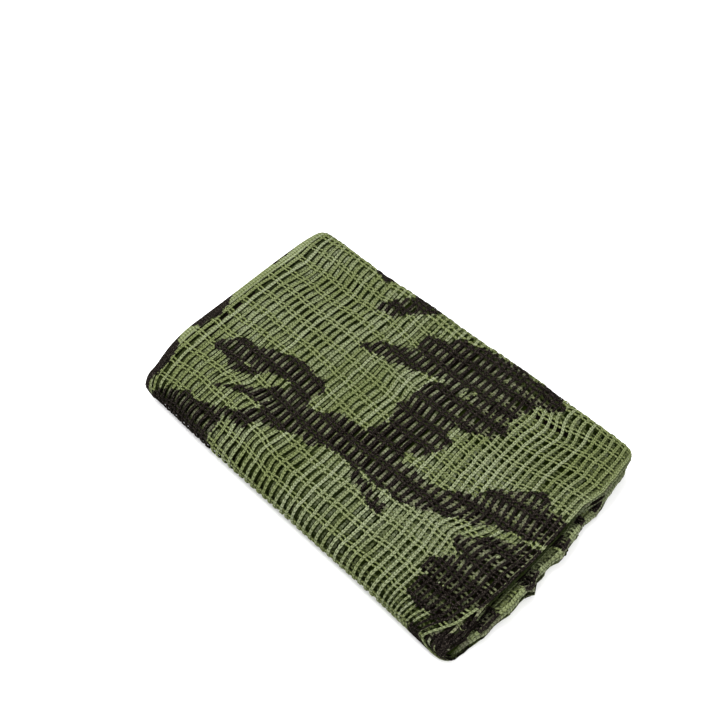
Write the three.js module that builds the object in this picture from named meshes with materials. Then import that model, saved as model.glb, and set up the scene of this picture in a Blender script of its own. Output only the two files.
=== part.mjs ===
// Sniper net scarf, folded flat. Millimetres, +Z up.
//
// The scarf is one rectangle of open cotton net. It is first gathered lengthwise into six plies, which makes a
// strip as long as the folded scarf is, and that strip is then folded over its short way into five passes. Here
// the six plies of a pass are one layer, and the five passes are one back-and-forth section, a little apart:
// the face wraps round the rolled edge down to the base, the base turns up at the open edge into the next pass,
// and so on inwards to the core. The mesh itself is texture and is not cut.
//
// The origin is on the surface, under the middle of the fold. X runs along the fold, and Y across it from the
// rolled edge at -Y to the open edge at +Y. The closed end is at -X. At the loose end, +X, the upper layers
// stand back from the lower ones.

import * as THREE from 'three';
import { mergeVertices } from 'three/addons/utils/BufferGeometryUtils.js';

// ---- driving dimensions ----

const LENGTH = 300;
const WIDTH = 190;
const LAYER = 3.8;
const LAYER_GAP = 0.75;

const LAYER_STEP = LAYER + LAYER_GAP;
const HALF_LENGTH = LENGTH / 2;
const HALF_WIDTH = WIDTH / 2;
const HALF_LAYER = LAYER / 2;

// One row for each pass, in the order in which the cloth runs. level counts the layers up from the surface,
// open_in is how far the pass or its turn stays in from the open edge, and roll_in from the rolled edge.
const PASSES = [
  { pass: 'face', level: 4, open_in: 0.0, roll_in: 0.0 },
  { pass: 'base', level: 0, open_in: 0.5, roll_in: 0.0 },
  { pass: 'inner_base', level: 1, open_in: 0.5, roll_in: 4.6 },
  { pass: 'inner_face', level: 3, open_in: 2.5, roll_in: 4.6 },
  { pass: 'core', level: 2, open_in: 2.5, roll_in: 12.0 },
];

// One row for each turn between two passes. side is -1 at the rolled edge and 1 at the open edge, and
// roundness is how far the turn reaches out for each part of its height.
const TURNS = [
  { turn: 'outer_roll', side: -1, roundness: 0.8, steps: 12 },
  { turn: 'lower_fold', side: 1, roundness: 1.0, steps: 6 },
  { turn: 'inner_roll', side: -1, roundness: 0.9, steps: 8 },
  { turn: 'upper_fold', side: 1, roundness: 1.0, steps: 6 },
];

// How far the upper layers stand back at the loose end. across is the place over the width, from the rolled
// edge at -1 to the open edge at 1, and back is in millimetres.
const UPPER_END = [
  { across: -1.0, back: 20 },
  { across: -0.8, back: 12 },
  { across: -0.6, back: 7.5 },
  { across: -0.4, back: 6 },
  { across: 0.4, back: 5 },
  { across: 0.58, back: 0.5 },
  { across: 1.0, back: 0 },
];
// The upper layers lie over this height. The change from lower to upper is short between the passes, and
// spreads out over the height of the roll towards the rolled edge.
const SPLIT_HEIGHT = 2 * LAYER_STEP - LAYER_GAP / 2;
const SPLIT_SHORT = LAYER_GAP / 3;
const SPLIT_LONG = 8;
const SPLIT_SPREADS_FROM = 0.6;
const SPLIT_SPREADS_TO = 0.86;
const END_REACH = 60;
const LOOSE_END_BULGE = 4;

// One row for each corner: how far it is drawn in along and across the fold, and over what length.
const CORNERS = [
  { corner: 'closed_rolled', end: -1, side: -1, along_in: 17, across_in: 1.5, length: 60 },
  { corner: 'closed_open', end: -1, side: 1, along_in: 3, across_in: 1.5, length: 26 },
  { corner: 'loose_rolled', end: 1, side: -1, along_in: 2, across_in: 0.5, length: 34 },
  { corner: 'loose_open', end: 1, side: 1, along_in: 1, across_in: 1, length: 26 },
];

// Soft waves in the face, and in the open edge.
const FACE_WAVES = [
  { along: 1.6, across: 0.7, phase: 0.4, rise: 0.45 },
  { along: 3.1, across: 1.9, phase: 2.1, rise: 0.3 },
];
const EDGE_WAVES = [
  { along: 0.9, phase: -1.2, out: 2.4 },
  { along: 3.4, phase: 2.6, out: 0.8 },
];

// The mesh of the sheet. Its steps crowd towards the ends and edges, where the corners are rounded.
const STEPS_ALONG = 20;
const STEPS_PER_PASS = 8;
const CROWDING = 0.55;
const LAYER_STEPS = 2;
const RIM_EASE = 1.2;

const { clamp, lerp, mapLinear, smoothstep } = THREE.MathUtils;

// Crowds even steps between -1 and 1 towards both ends.
const crowd = (place) => place + (CROWDING / Math.PI) * Math.sin(Math.PI * place);

// ---- the section across the fold ----

const levelHeight = (level) => HALF_LAYER + level * LAYER_STEP;
const HEIGHT = levelHeight(PASSES.length - 1) + HALF_LAYER;

// Half of a turn's height, and how far its middle line reaches out past the straight of its passes.
function turnSize(index) {
  const rise = Math.abs(levelHeight(PASSES[index].level) - levelHeight(PASSES[index + 1].level)) / 2;
  return { rise, reach: rise * TURNS[index].roundness };
}

// Where the straight of a pass ends beside its turn.
function turnStart(index) {
  const { side } = TURNS[index];
  const inset = side > 0 ? PASSES[index].open_in : PASSES[index].roll_in;
  return side * (HALF_WIDTH - inset - HALF_LAYER - turnSize(index).reach);
}

// The middle line of the whole section. Its x is the place across the fold and its y the height.
function middleLine() {
  const points = [];
  let start = HALF_WIDTH - PASSES[0].open_in;
  PASSES.forEach((pass, index) => {
    const height = levelHeight(pass.level);
    const isLast = index === PASSES.length - 1;
    const end = isLast ? pass.roll_in - HALF_WIDTH : turnStart(index);
    for (let step = 0; step <= STEPS_PER_PASS; step += 1) {
      const part = (crowd((2 * step) / STEPS_PER_PASS - 1) + 1) / 2;
      points.push(new THREE.Vector2(lerp(start, end, part), height));
    }
    if (isLast) return;
    const next = levelHeight(PASSES[index + 1].level);
    const { rise, reach } = turnSize(index);
    const { side, steps } = TURNS[index];
    for (let step = 1; step < steps; step += 1) {
      const angle = (Math.PI * step) / steps;
      const lift = Math.cos(angle) * rise * Math.sign(height - next);
      points.push(new THREE.Vector2(end + side * Math.sin(angle) * reach, (height + next) / 2 + lift));
    }
    start = end;
  });
  return points;
}

// The normal on the left of the line at each of its points.
function leftNormals(line) {
  return line.map((point, index) => {
    const before = line[Math.max(index - 1, 0)];
    const after = line[Math.min(index + 1, line.length - 1)];
    const onwards = new THREE.Vector2().subVectors(after, before).normalize();
    return new THREE.Vector2(-onwards.y, onwards.x);
  });
}

// ---- how the folded cloth has settled ----

// How far the upper layers stand back at this place across the fold.
function upperBack(across) {
  const place = clamp(across, -1, 1);
  const index = Math.max(1, UPPER_END.findIndex((row) => row.across >= place));
  const low = UPPER_END[index - 1];
  const high = UPPER_END[index];
  return mapLinear(place, low.across, high.across, low.back, high.back);
}

// Where a point of the neatly folded cloth ends up when it has settled. The underside stays flat.
function settle(point) {
  const along = point.x / HALF_LENGTH;
  const across = point.y / HALF_WIDTH;

  const spread = smoothstep(-across, SPLIT_SPREADS_FROM, SPLIT_SPREADS_TO);
  const half = lerp(SPLIT_SHORT, SPLIT_LONG, spread);
  const upper = smoothstep(point.z, SPLIT_HEIGHT - half, SPLIT_HEIGHT + half);
  const nearLooseEnd = clamp((point.x - HALF_LENGTH + END_REACH) / END_REACH, 0, 1);
  const back = upper * upperBack(across) + LOOSE_END_BULGE * across ** 2;
  const moved = new THREE.Vector3(point.x - nearLooseEnd * back, point.y, point.z);

  CORNERS.forEach((row) => {
    const nearEnd = clamp(1 - (HALF_LENGTH - point.x * row.end) / row.length, 0, 1);
    const nearSide = clamp(1 - (HALF_WIDTH - point.y * row.side) / row.length, 0, 1);
    moved.x -= row.end * row.along_in * nearEnd * nearSide ** 2;
    moved.y -= row.side * row.across_in * nearSide * nearEnd ** 2;
  });

  const edgeWave = EDGE_WAVES.reduce((sum, wave) => {
    return sum + wave.out * (Math.cos(wave.along * along * Math.PI + wave.phase) - 1) / 2;
  }, 0);
  moved.y += edgeWave * clamp(across, 0, 1) ** 2;

  const faceWave = FACE_WAVES.reduce((sum, wave) => {
    return sum + wave.rise * Math.sin((wave.along * along + wave.across * across) * Math.PI + wave.phase);
  }, 0);
  moved.z += faceWave * (point.z / HEIGHT) * (1 - Math.abs(across) ** 4);
  return moved;
}

// ---- the scarf ----

// The strip starts as a flat sheet: X along the fold, one unit of Y for each step of the middle line, and Z
// through the layer. Its rims are eased, and then each row of it goes to its place on the middle line.
function foldedNet() {
  const line = middleLine();
  const normals = leftNormals(line);
  const steps = line.length - 1;
  const flat = new THREE.BoxGeometry(LENGTH, steps, LAYER, STEPS_ALONG, steps, LAYER_STEPS);
  flat.deleteAttribute('normal');
  flat.deleteAttribute('uv');

  const sheet = mergeVertices(flat);
  const position = sheet.getAttribute('position');
  for (let index = 0; index < position.count; index += 1) {
    const row = Math.round(position.getY(index) + steps / 2);
    const through = position.getZ(index);
    const isFace = Math.abs(through) > HALF_LAYER / 2;
    const endRim = isFace && Math.abs(position.getX(index)) > HALF_LENGTH - RIM_EASE;
    const along = HALF_LENGTH * crowd(position.getX(index) / HALF_LENGTH);
    const x = along - (endRim ? RIM_EASE * Math.sign(along) : 0);

    const place = line[row].clone().addScaledVector(normals[row], through);
    if (isFace && row === 0) place.add(line[1].clone().sub(line[0]).setLength(RIM_EASE));
    if (isFace && row === steps) place.add(line[steps - 1].clone().sub(line[steps]).setLength(RIM_EASE));
    const moved = settle(new THREE.Vector3(x, place.x, place.y));
    position.setXYZ(index, moved.x, moved.y, moved.z);
  }
  sheet.computeVertexNormals();
  return sheet;
}

const cottonNet = new THREE.MeshStandardMaterial({ color: 0x84985f, roughness: 0.95, metalness: 0 });

const scarf = new THREE.Group();
const net = new THREE.Mesh(foldedNet(), cottonNet);
net.name = 'net_scarf';
scarf.add(net);

export default scarf;
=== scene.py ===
# %% [markdown]
# # Sniper net scarf, folded flat
#
# A sniper net scarf is one rectangle of open cotton net, about 1.8 m by 0.93 m, made of soft yarn and
# printed on one side in a two-colour woodland pattern. To fold it, it is gathered lengthwise into six
# plies, and the strip that this makes is folded over its short way into five passes. A few flat sheets with
# holes painted on would be quicker, but the depth, the shadows and the rough edges of a folded net all come
# from its yarns. So this script lays the whole net flat, yarn by yarn, and then sends every yarn through
# those same two foldings.

import math

import bmesh
import bpy
import numpy as np
from mathutils import Matrix, Vector


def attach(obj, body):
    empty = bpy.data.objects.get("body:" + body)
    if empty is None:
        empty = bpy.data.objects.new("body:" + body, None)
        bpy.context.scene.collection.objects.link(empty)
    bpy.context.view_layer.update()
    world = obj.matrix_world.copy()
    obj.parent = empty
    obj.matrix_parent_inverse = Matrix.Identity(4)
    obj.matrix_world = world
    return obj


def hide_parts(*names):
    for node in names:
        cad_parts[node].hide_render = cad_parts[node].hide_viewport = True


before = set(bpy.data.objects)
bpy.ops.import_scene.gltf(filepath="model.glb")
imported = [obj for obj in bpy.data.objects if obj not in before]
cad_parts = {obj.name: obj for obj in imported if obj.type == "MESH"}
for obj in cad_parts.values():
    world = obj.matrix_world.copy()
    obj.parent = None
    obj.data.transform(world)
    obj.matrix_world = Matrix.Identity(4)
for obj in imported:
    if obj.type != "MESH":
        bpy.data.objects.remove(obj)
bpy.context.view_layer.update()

# Lengths below are in millimetres, and MM makes metres of them.
MM = 0.001

# %% [markdown]
# ## The second folding, over the short way
#
# On the real scarf the gathered strip is laid down, brought round at the near edge and tucked into itself,
# so that one big soft roll shows along the near edge and the open edge lies on the far one. The CAD solid
# has the same section, with the six plies of the strip as one layer. Its numbers are repeated here, so that
# every yarn follows that solid. A pass runs straight, and a turn is half an ellipse. A cloth simulation
# could fold a strip as well, but it wouldn't end at a known size.

# %% the section across the fold
LENGTH, WIDTH, LAYER, LAYER_GAP = 300.0, 190.0, 3.8, 0.75
LAYER_STEP = LAYER + LAYER_GAP
HALF_LENGTH, HALF_WIDTH, HALF_LAYER = LENGTH / 2, WIDTH / 2, LAYER / 2

# level counts the layers up from the surface. open_in and roll_in are how far a pass or its turn stays in
# from the open edge and from the rolled edge.
PASSES = [
    {"name": "face", "level": 4, "open_in": 0.0, "roll_in": 0.0},
    {"name": "base", "level": 0, "open_in": 0.5, "roll_in": 0.0},
    {"name": "inner_base", "level": 1, "open_in": 0.5, "roll_in": 4.6},
    {"name": "inner_face", "level": 3, "open_in": 2.5, "roll_in": 4.6},
    {"name": "core", "level": 2, "open_in": 2.5, "roll_in": 12.0},
]
# side is -1 at the rolled edge and 1 at the open edge. roundness is how far a turn reaches out for its
# height.
TURNS = [
    {"name": "outer_roll", "side": -1, "roundness": 0.8},
    {"name": "lower_fold", "side": 1, "roundness": 1.0},
    {"name": "inner_roll", "side": -1, "roundness": 0.9},
    {"name": "upper_fold", "side": 1, "roundness": 1.0},
]
TURN_STEPS, LINE_STEP = 32, 0.5
HEIGHT = HALF_LAYER + (len(PASSES) - 1) * LAYER_STEP + HALF_LAYER


def level_height(level):
    return HALF_LAYER + level * LAYER_STEP


def follow(points):
    """Even steps along a line: distances, places and right-hand normals. Also how far on each point is."""
    points = np.array(points, float)
    gone = np.concatenate([[0.0], np.cumsum(np.linalg.norm(np.diff(points, axis=0), axis=1))])
    steps = np.linspace(0.0, gone[-1], int(gone[-1] / LINE_STEP) + 1)
    even = np.stack([np.interp(steps, gone, points[:, axis]) for axis in (0, 1)], axis=1)
    onwards = np.gradient(even, axis=0)
    onwards /= np.linalg.norm(onwards, axis=1, keepdims=True)
    return steps, even, np.stack([onwards[:, 1], -onwards[:, 0]], axis=1), gone


def section():
    """The middle line of the folded strip, from the open edge to the core, and where its parts start."""
    points, first = [], {}
    start = HALF_WIDTH - PASSES[0]["open_in"]
    for index, row in enumerate(PASSES):
        height = level_height(row["level"])
        first[row["name"]] = len(points)
        points.append((start, height))
        if index == len(PASSES) - 1:
            points.append((row["roll_in"] - HALF_WIDTH, height))
            break
        next_height = level_height(PASSES[index + 1]["level"])
        turn = TURNS[index]
        rise = abs(height - next_height) / 2
        reach = rise * turn["roundness"]
        inset = row["open_in"] if turn["side"] > 0 else row["roll_in"]
        start = turn["side"] * (HALF_WIDTH - inset - HALF_LAYER - reach)
        first[turn["name"]] = len(points)
        for angle in np.linspace(0, math.pi, TURN_STEPS + 1)[:-1]:
            lift = math.cos(angle) * rise * math.copysign(1, height - next_height)
            out = turn["side"] * math.sin(angle) * reach
            points.append((start + out, (height + next_height) / 2 + lift))
    steps, even, normals, gone = follow(points)
    return steps, even, normals, {name: gone[at] for name, at in first.items()}


SECTION_T, SECTION_LINE, SECTION_NORMAL, SECTION_STARTS = section()
CLOTH_WIDTH = SECTION_T[-1]
print("cloth width along the section, mm:", round(CLOTH_WIDTH, 1))
print("its parts start at, mm:", {name: round(t, 1) for name, t in SECTION_STARTS.items()})

# %% [markdown]
# ## How the folded cloth has settled
#
# Cotton net is limp. Its corners are drawn in, the upper layers stand back a little from the lower ones at
# the loose end, and the open edge wanders. These are the CAD solid's own soft shapes. They are repeated as
# one function that moves points, because then it can move any number of yarns in one go.

# %% the settling that the CAD solid has
UPPER_END = {"across": [-1, -0.8, -0.6, -0.4, 0.4, 0.58, 1], "back": [20, 12, 7.5, 6, 5, 0.5, 0]}
SPLIT_HEIGHT = 2 * LAYER_STEP - LAYER_GAP / 2
SPLIT_SHORT, SPLIT_LONG = LAYER_GAP / 3, 8.0
SPLIT_SPREADS = (0.6, 0.86)
END_REACH, LOOSE_END_BULGE = 60.0, 4.0
# end is -1 at the closed end and 1 at the loose end, and side is as in TURNS.
CORNERS = [
    {"end": -1, "side": -1, "along_in": 17, "across_in": 1.5, "length": 60},
    {"end": -1, "side": 1, "along_in": 3, "across_in": 1.5, "length": 26},
    {"end": 1, "side": -1, "along_in": 2, "across_in": 0.5, "length": 34},
    {"end": 1, "side": 1, "along_in": 1, "across_in": 1, "length": 26},
]
FACE_WAVES = [
    {"along": 1.6, "across": 0.7, "phase": 0.4, "rise": 0.45},
    {"along": 3.1, "across": 1.9, "phase": 2.1, "rise": 0.3},
]
EDGE_WAVES = [
    {"along": 0.9, "phase": -1.2, "out": 2.4},
    {"along": 3.4, "phase": 2.6, "out": 0.8},
]
# At the rolled corner the plies under the top one stand back less than it does. The solid doesn't have this.
CORNER_UNDER = {"across": (0.5, 0.85), "less": 0.75}


def ease(value, low, high):
    """0 below low and 1 above high, with a smooth rise between."""
    part = np.clip((value - low) / (high - low), 0.0, 1.0)
    return part * part * (3 - 2 * part)


def stands_back(x, y, layer_z, is_top):
    """How far a place stands back from the loose end. layer_z is the height of its layer's middle."""
    across = y / HALF_WIDTH
    half = SPLIT_SHORT + (SPLIT_LONG - SPLIT_SHORT) * ease(-across, *SPLIT_SPREADS)
    upper = ease(layer_z, SPLIT_HEIGHT - half, SPLIT_HEIGHT + half)
    under = (1 - is_top) * ease(-across, *CORNER_UNDER["across"])
    upper = upper * (1 - CORNER_UNDER["less"] * under)
    near_loose = np.clip((x - HALF_LENGTH + END_REACH) / END_REACH, 0, 1)
    back = upper * np.interp(across, UPPER_END["across"], UPPER_END["back"]) + LOOSE_END_BULGE * across**2
    return near_loose * back


def settle(x, y, z, layer_z, is_top):
    """Where a place of the neatly folded cloth ends up."""
    along, across = x / HALF_LENGTH, y / HALF_WIDTH
    moved_x, moved_y = x - stands_back(x, y, layer_z, is_top), y.copy()
    for row in CORNERS:
        near_end = np.clip(1 - (HALF_LENGTH - x * row["end"]) / row["length"], 0, 1)
        near_side = np.clip(1 - (HALF_WIDTH - y * row["side"]) / row["length"], 0, 1)
        moved_x -= row["end"] * row["along_in"] * near_end * near_side**2
        moved_y -= row["side"] * row["across_in"] * near_side * near_end**2
    edge = sum(
        row["out"] * (np.cos(row["along"] * along * math.pi + row["phase"]) - 1) / 2 for row in EDGE_WAVES
    )
    face = sum(
        row["rise"] * np.sin((row["along"] * along + row["across"] * across) * math.pi + row["phase"])
        for row in FACE_WAVES
    )
    moved_y += edge * np.clip(across, 0, 1) ** 2
    moved_z = z + face * (z / HEIGHT) * (1 - np.abs(across) ** 4)
    return moved_x, moved_y, moved_z


print("height of the fold, mm:", round(HEIGHT, 1))

# %% [markdown]
# ## The first folding, lengthwise
#
# The cloth goes back and forth six times over the length of the fold. Ply 5 is the outermost, and its free
# end is at the loose end. Yarn doesn't crease sharply, so every loop is a little fatter than the plies it
# joins. One line, seen from the open edge, says where each distance along the cloth lies.

# %% the six plies of the strip
PLIES, PLY_STEP = 6, 0.62
LOOP_REACH, LOOP_BULGE, LOOP_STEPS = 2.8, 0.75, 24
PLY_ENDS = {"closed": [150.0, 148.6, 149.4], "loose": [149.0, 148.0, 149.6, 147.5]}


def ply_height(ply):
    return (ply - (PLIES - 1) / 2) * PLY_STEP


def zigzag():
    """The line of the strip's plies, from ply 5 to ply 0, with the distance at which each of them ends."""
    points, ends = [], []
    x = PLY_ENDS["loose"][0]
    for turn, ply in enumerate(range(PLIES - 1, -1, -1)):
        side = -1 if turn % 2 == 0 else 1
        height = ply_height(ply)
        points.append((x, height))
        if ply == 0:
            points.append((PLY_ENDS["loose"][3] * side, height))
            ends.append(len(points) - 1)
            break
        stop = PLY_ENDS["closed"][turn // 2] if side < 0 else PLY_ENDS["loose"][1 + turn // 2]
        x = side * (stop - LOOP_REACH)
        points.append((x, height))
        for angle in np.linspace(0, math.pi, LOOP_STEPS + 1)[1:-1]:
            lift = math.cos(angle) * (PLY_STEP / 2 + LOOP_BULGE * math.sin(angle))
            points.append((x + side * LOOP_REACH * math.sin(angle), height - PLY_STEP / 2 + lift))
        ends.append(len(points) - LOOP_STEPS // 2)
    steps, even, normals, gone = follow(points)
    return steps, even, normals, [gone[at] for at in ends]


STRIP_U, STRIP_LINE, STRIP_NORMAL, PLY_STOPS = zigzag()
PLY_STARTS = [0.0, *PLY_STOPS[:-1]]
CLOTH_LENGTH = STRIP_U[-1]
print("cloth length along the plies, mm:", round(CLOTH_LENGTH, 1), [round(u, 1) for u in PLY_STOPS])


def read_line(distance, steps, columns):
    """Both coordinates of a line, or of its normals, at any distance along it."""
    return (np.interp(distance, steps, columns[:, axis]) for axis in (0, 1))


def fold_x(u):
    """Where a distance u along the cloth lies along the fold."""
    return np.interp(u, STRIP_U, STRIP_LINE[:, 0])


# %% [markdown]
# ## How the cloth is pulled askew
#
# A soft net is never folded quite square. The hands that fold it pull all its plies together, so that the
# ribbons lean one way here and the other way there, and the rows bow away from the open edge. Moving
# thousands of yarns by hand is no way to make that. It is a field of small shifts instead: a few leaning
# places, one bow, and a slow seeded drift over the whole.

# %% the leans, the bow and the drift
DRIFT_WAVES, DRIFT_SPREAD = 7, (0.6, 1.6)
ALONG_DRIFT = {"seed": 31, "wavelength": 150, "amount": 0.5}
ACROSS_DRIFT = {"seed": 32, "wavelength": 120, "amount": 0.5}
# x is the place along the fold, and t runs from the open edge over the face and round the roll. lean is how
# far a ribbon moves along for each millimetre that it runs across.
LEANS = [
    {"place": "open edge, closed end", "x": -105, "t": 18, "wide": 65, "deep": 24, "lean": 0.24},
    {"place": "open edge, loose end", "x": 95, "t": 16, "wide": 24, "deep": 13, "lean": 0.45},
    {"place": "middle", "x": 0, "t": 66, "wide": 24, "deep": 14, "lean": 0.3},
    {"place": "roll side, loose end", "x": 105, "t": 116, "wide": 42, "deep": 17, "lean": -0.55},
    {"place": "roll side, closed end", "x": -80, "t": 142, "wide": 26, "deep": 13, "lean": -0.4},
    {"place": "along the roll", "x": -35, "t": 172, "wide": 50, "deep": 13, "lean": 0.4},
]
ROW_BOW = {
    "x": [-150, -130, -110, -70, -50, -30, 0, 40, 70, 150],
    "bow": [3, 2.5, 1, 2, 2.6, 4.4, 5.6, 6, 5, 1],
}
ROW_BOW_END = {"less": 8.0, "x": (80, 140), "t": (70, 135)}
# The open edge and both ends are held, and round the roll the rows run straight again.
EDGE_HELD, ENDS_HELD = (2.0, 16.0), (0.0, 14.0)
STRAIGHT_AGAIN = (SECTION_STARTS["outer_roll"] + 6, SECTION_STARTS["base"] + 40)


def drift(u, t, seed, wavelength, amount):
    """A smooth wandering over the cloth, made of a few waves that run in different directions."""
    own = np.random.default_rng(seed)
    total = np.zeros(np.broadcast(u, t).shape)
    for _ in range(DRIFT_WAVES):
        angle, phase = own.uniform(0, math.tau, 2)
        length = wavelength * own.uniform(*DRIFT_SPREAD)
        total += np.sin((u * math.cos(angle) + t * math.sin(angle)) * math.tau / length + phase)
    return amount * total / math.sqrt(DRIFT_WAVES / 2)


def bow_of_rows(x, t):
    """How far the rows bow away from the open edge."""
    bow = np.interp(x, ROW_BOW["x"], ROW_BOW["bow"])
    return bow - ROW_BOW_END["less"] * ease(x, *ROW_BOW_END["x"]) * (1 - ease(t, *ROW_BOW_END["t"]))


def askew(x, t):
    """How all plies of the folded cloth are pulled askew together: along the fold, and across it."""
    along = drift(x, t, **ALONG_DRIFT)
    for row in LEANS:
        near = np.exp(-(((x - row["x"]) / row["wide"]) ** 2) - ((t - row["t"]) / row["deep"]) ** 2)
        along = along + row["lean"] * (t - row["t"]) * near
    across = (bow_of_rows(x, t) + drift(x, t, **ACROSS_DRIFT)) * ease(t, *EDGE_HELD)
    free = ease(HALF_LENGTH - np.abs(x), *ENDS_HELD)
    return free * along, across * (1 - ease(t, *STRAIGHT_AGAIN))


print("leaning places:", len(LEANS), "largest bow, mm:", max(ROW_BOW["bow"]))

# %% [markdown]
# ## The soft ends and edges
#
# The solid has blunt rims. On the real fold they are bundles of yarn, so they are rounder. The loops of the
# closed end make a round edge that comes to a small tip at the rolled corner. At the loose end the face,
# the two inner passes and the two lowest ones are a bundle each. The inner bundle stays back, which leaves
# a slit, and the lowest one swells into a lumpy tube. Each of these is a soft move of the points near it.

# %% the closed end
# along_at_z is how far the tip is moved along the fold at each height.
CLOSED_ROUND = {"along": 7.0, "drop": 0.3, "full": 0.96}
CLOSED_BAND = {"lower": 0.06, "x": (140.5, 142.5)}
CLOSED_TIP = {"x": (128, 148), "y": (76, 93), "along_at_z": ([4, 8, 11, 14, 22], [7, 4, -3, -2.5, -3])}


def round_off(part, full):
    """A quarter round: 1 where part is 0, down to a blunt edge where part is 1."""
    return np.sqrt(1 - full * part**2)


def closed_end(x, y, z):
    """The closed end: a round edge, a little lower than the fold, with a tip at the rolled corner."""
    part = np.clip((-x - HALF_LENGTH + CLOSED_ROUND["along"]) / CLOSED_ROUND["along"], 0, 1)
    z = z * (1 - CLOSED_ROUND["drop"] * (1 - round_off(part, CLOSED_ROUND["full"])))
    z = z * (1 - CLOSED_BAND["lower"] * ease(-x, *CLOSED_BAND["x"]))
    tip = ease(-x, *CLOSED_TIP["x"]) * ease(-y, *CLOSED_TIP["y"])
    return x + tip * np.interp(z, *CLOSED_TIP["along_at_z"]), z


print("the closed end rounds off over, mm:", CLOSED_ROUND["along"])

# %% the loose end
# One column for each part of the section: the height of its bundle's middle, and how far back it rounds off.
BUNDLES = {
    "t": [SECTION_STARTS[name] for name in ("outer_roll", "base", "inner_roll", "inner_face")],
    "middle": [level_height(4), level_height(0.5), level_height(0.5), level_height(2.5)],
    "round": [2.5, 5.0, 5.0, 5.0],
    "full": 0.85,
}
INNER_PASSES = (SECTION_STARTS["inner_roll"] + 2, SECTION_STARTS["inner_face"])
LOWER_PASSES = (SECTION_STARTS["outer_roll"] + 8, SECTION_STARTS["base"])
LOOSE_SLIT = {"y_from": (-42, -18), "y_to": (-84, -66), "x": (105, 148), "deep": 12.0}
LOOSE_TUBE = {"x": (139, 146), "higher": 0.8, "longer": 1.5}
TUBE_LUMPS = {"seed": 41, "wavelength": 26.0, "amount": 0.3}
TUBE_BUMPS = [
    {"y": 50, "reach": 14, "out": 2.0},
    {"y": -23, "reach": 6, "out": 4.0},
    {"y": -42, "reach": 12, "out": 1.0},
    {"y": 8, "reach": 12, "out": 1.5},
]
BUMPS_FROM = (140, 150)


def bump(value, centre, reach):
    """1 at centre, falling smoothly to 0 at reach on both sides."""
    return 1 - ease(np.abs(value - centre), 0.0, reach)


def loose_end(x, y, z, t):
    """The loose end: round bundles, the slit between them, and the lumpy tube of the lowest one."""
    middle, round_end = (np.interp(t, BUNDLES["t"], BUNDLES[key]) for key in ("middle", "round"))
    part = np.clip((x - HALF_LENGTH + round_end) / round_end, 0, 1)
    z = middle + (z - middle) * round_off(part, BUNDLES["full"])

    apart = ease(-y, *LOOSE_SLIT["y_from"]) * ease(y, *LOOSE_SLIT["y_to"])
    inner = ease(t, *INNER_PASSES)
    x = x - LOOSE_SLIT["deep"] * apart * inner * ease(x, *LOOSE_SLIT["x"])

    lower = ease(t, *LOWER_PASSES) * (1 - inner)
    swollen = apart * lower * (1 + drift(y, 0.0, **TUBE_LUMPS)) * ease(x, *LOOSE_TUBE["x"])
    x = x + sum(
        row["out"] * bump(y, row["y"], row["reach"]) * lower * ease(x, *BUMPS_FROM) for row in TUBE_BUMPS
    )
    return x + LOOSE_TUBE["longer"] * swollen, z * (1 + LOOSE_TUBE["higher"] * swollen)


print("bumps on the loose end's tube:", len(TUBE_BUMPS))

# %% the long edges
CORNER_ROUND, CORNER_FULL = 7.0, 0.98
ROLL_DRAWN = {
    "y": (74, 95),
    "in_at_x": ([-150, -110, -60, 70, 120, 150], [2.4, 2.8, 1.9, 1.8, 0.8, 0.5]),
}


def long_edges(x, y):
    """The open edge has round corners, and the roll is drawn in a little along its length."""
    for end in (-1, 1):
        past = np.clip((x * end - HALF_LENGTH + CORNER_ROUND) / CORNER_ROUND, 0, 1)
        inwards = CORNER_ROUND * (1 - round_off(past, CORNER_FULL))
        y = y - inwards * ease(y, HALF_WIDTH - 3 * CORNER_ROUND, HALF_WIDTH)
    return y + np.interp(x, *ROLL_DRAWN["in_at_x"]) * ease(-y, *ROLL_DRAWN["y"])


print("the roll is drawn in by up to, mm:", max(ROLL_DRAWN["in_at_x"][1]))

# %% [markdown]
# ## From the flat cloth to the fold
#
# Every point of a yarn has a place on the flat cloth: u along it, t across it, and out, its distance from
# the middle of the cloth towards the printed side. The strip's line makes a place along the fold and a
# height of the first, the section's line makes a place across the fold and a height of the second, and what
# settles the cloth comes last. The surface under the scarf is flat, so nothing goes below it.

# %% draping the flat cloth
# The top ply lies clear of the next one, and the fold slopes down to the rolled corner of the loose end.
TOP_PLY = {"from_ply": 4.4, "lift": 0.5}
CORNER_SLOPE = {"x": (112, 146), "y": (56, 92), "lower": 0.5}


def drape(u, t, out):
    """Where a point of the flat cloth goes."""
    x, h = read_line(u, STRIP_U, STRIP_LINE)
    nx, nh = read_line(u, STRIP_U, STRIP_NORMAL)
    x, h = x + nx * out, h + nh * out
    h = h + TOP_PLY["lift"] * ease(h, ply_height(TOP_PLY["from_ply"]), ply_height(PLIES - 1))
    along, across = askew(x, t)
    x, t = x + along, t + across

    y, layer_z = read_line(t, SECTION_T, SECTION_LINE)
    ny, nz = read_line(t, SECTION_T, SECTION_NORMAL)
    y, z = y + ny * h, layer_z + nz * h
    x, z = closed_end(x, y, z)
    x, z = loose_end(x, y, z, t)
    x, y, z = settle(x, long_edges(x, y), z, layer_z, u < PLY_STOPS[0])
    z = z * (1 - CORNER_SLOPE["lower"] * ease(x, *CORNER_SLOPE["x"]) * ease(-y, *CORNER_SLOPE["y"]))
    return np.stack([x, y, np.maximum(z, 0.0)], axis=-1)


middle_of_cloth = drape(np.array([CLOTH_LENGTH / 2]), np.array([CLOTH_WIDTH / 2]), 0.0)[0]
print("the middle of the cloth ends up at, mm:", [round(v, 1) for v in middle_of_cloth])

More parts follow.
